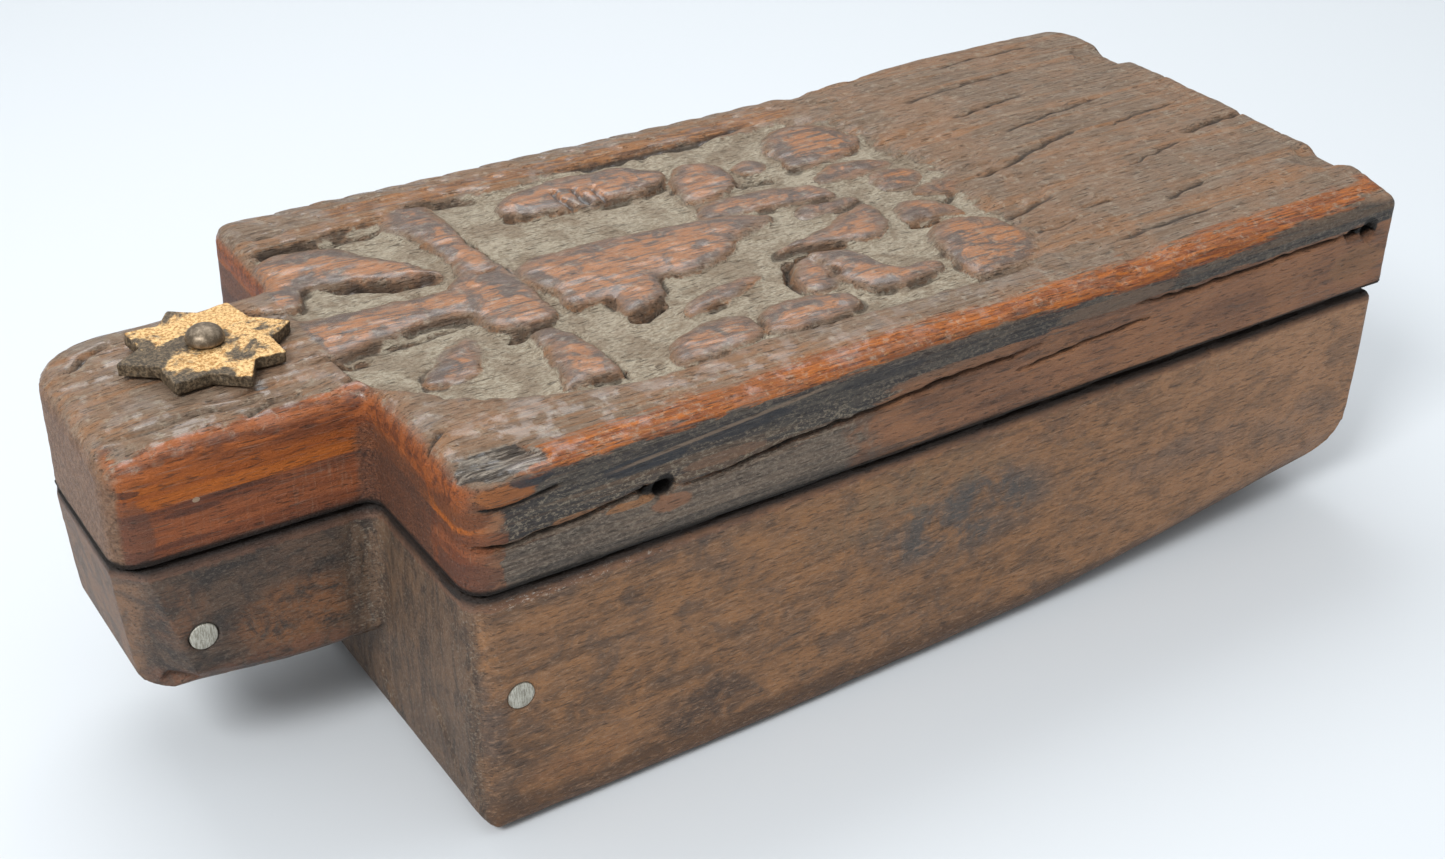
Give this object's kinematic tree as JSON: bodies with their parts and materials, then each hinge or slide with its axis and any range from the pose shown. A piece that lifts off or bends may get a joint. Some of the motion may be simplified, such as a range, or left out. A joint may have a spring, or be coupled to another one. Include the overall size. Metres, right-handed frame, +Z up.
{
  "type": "wooden puzzle box",
  "caption": "Paddle-shaped hardwood box with a thick relief-carved lid that swings sideways on a rivet through its neck, under a brass star plate.",
  "frame": {"origin": "under the middle of the whole box, on the surface it rests on", "axes": "+X from the neck towards the far end, +Y across the box, +Z up out of the carved lid"},
  "size_m": [0.3, 0.1309, 0.0895],
  "materials": {
    "base_wood": "old oiled hardwood, mottled dark and worn",
    "lid_wood": "old oiled hardwood, carved, with pale dust in the recesses",
    "old_brass": "dark patina worn through to yellow",
    "dark_bronze": "dull brown patina, polished on the crown",
    "rod_metal": "filed flush, scratched and tarnished"
  },
  "bodies": {
    "base": {"base_block": "base_wood", "pivot_rivet": "dark_bronze", "rivet_rove": "old_brass", "neck_cross_rod": "rod_metal", "shoulder_cross_rod": "rod_metal"},
    "lid": {"lid_plank": "lid_wood"},
    "star": {"star_plate": "old_brass"}
  },
  "joints": [
    {"name": "lid_swing", "type": "hinge", "parent": "base", "child": "lid", "pos_m": [-0.119, 0.004, 0.0575], "axis": [0, 0, 1], "continuous": true},
    {"name": "star_spin", "type": "hinge", "parent": "lid", "child": "star", "pos_m": [-0.119, 0.004, 0.0831], "axis": [0, 0, 1], "continuous": true}
  ]
}
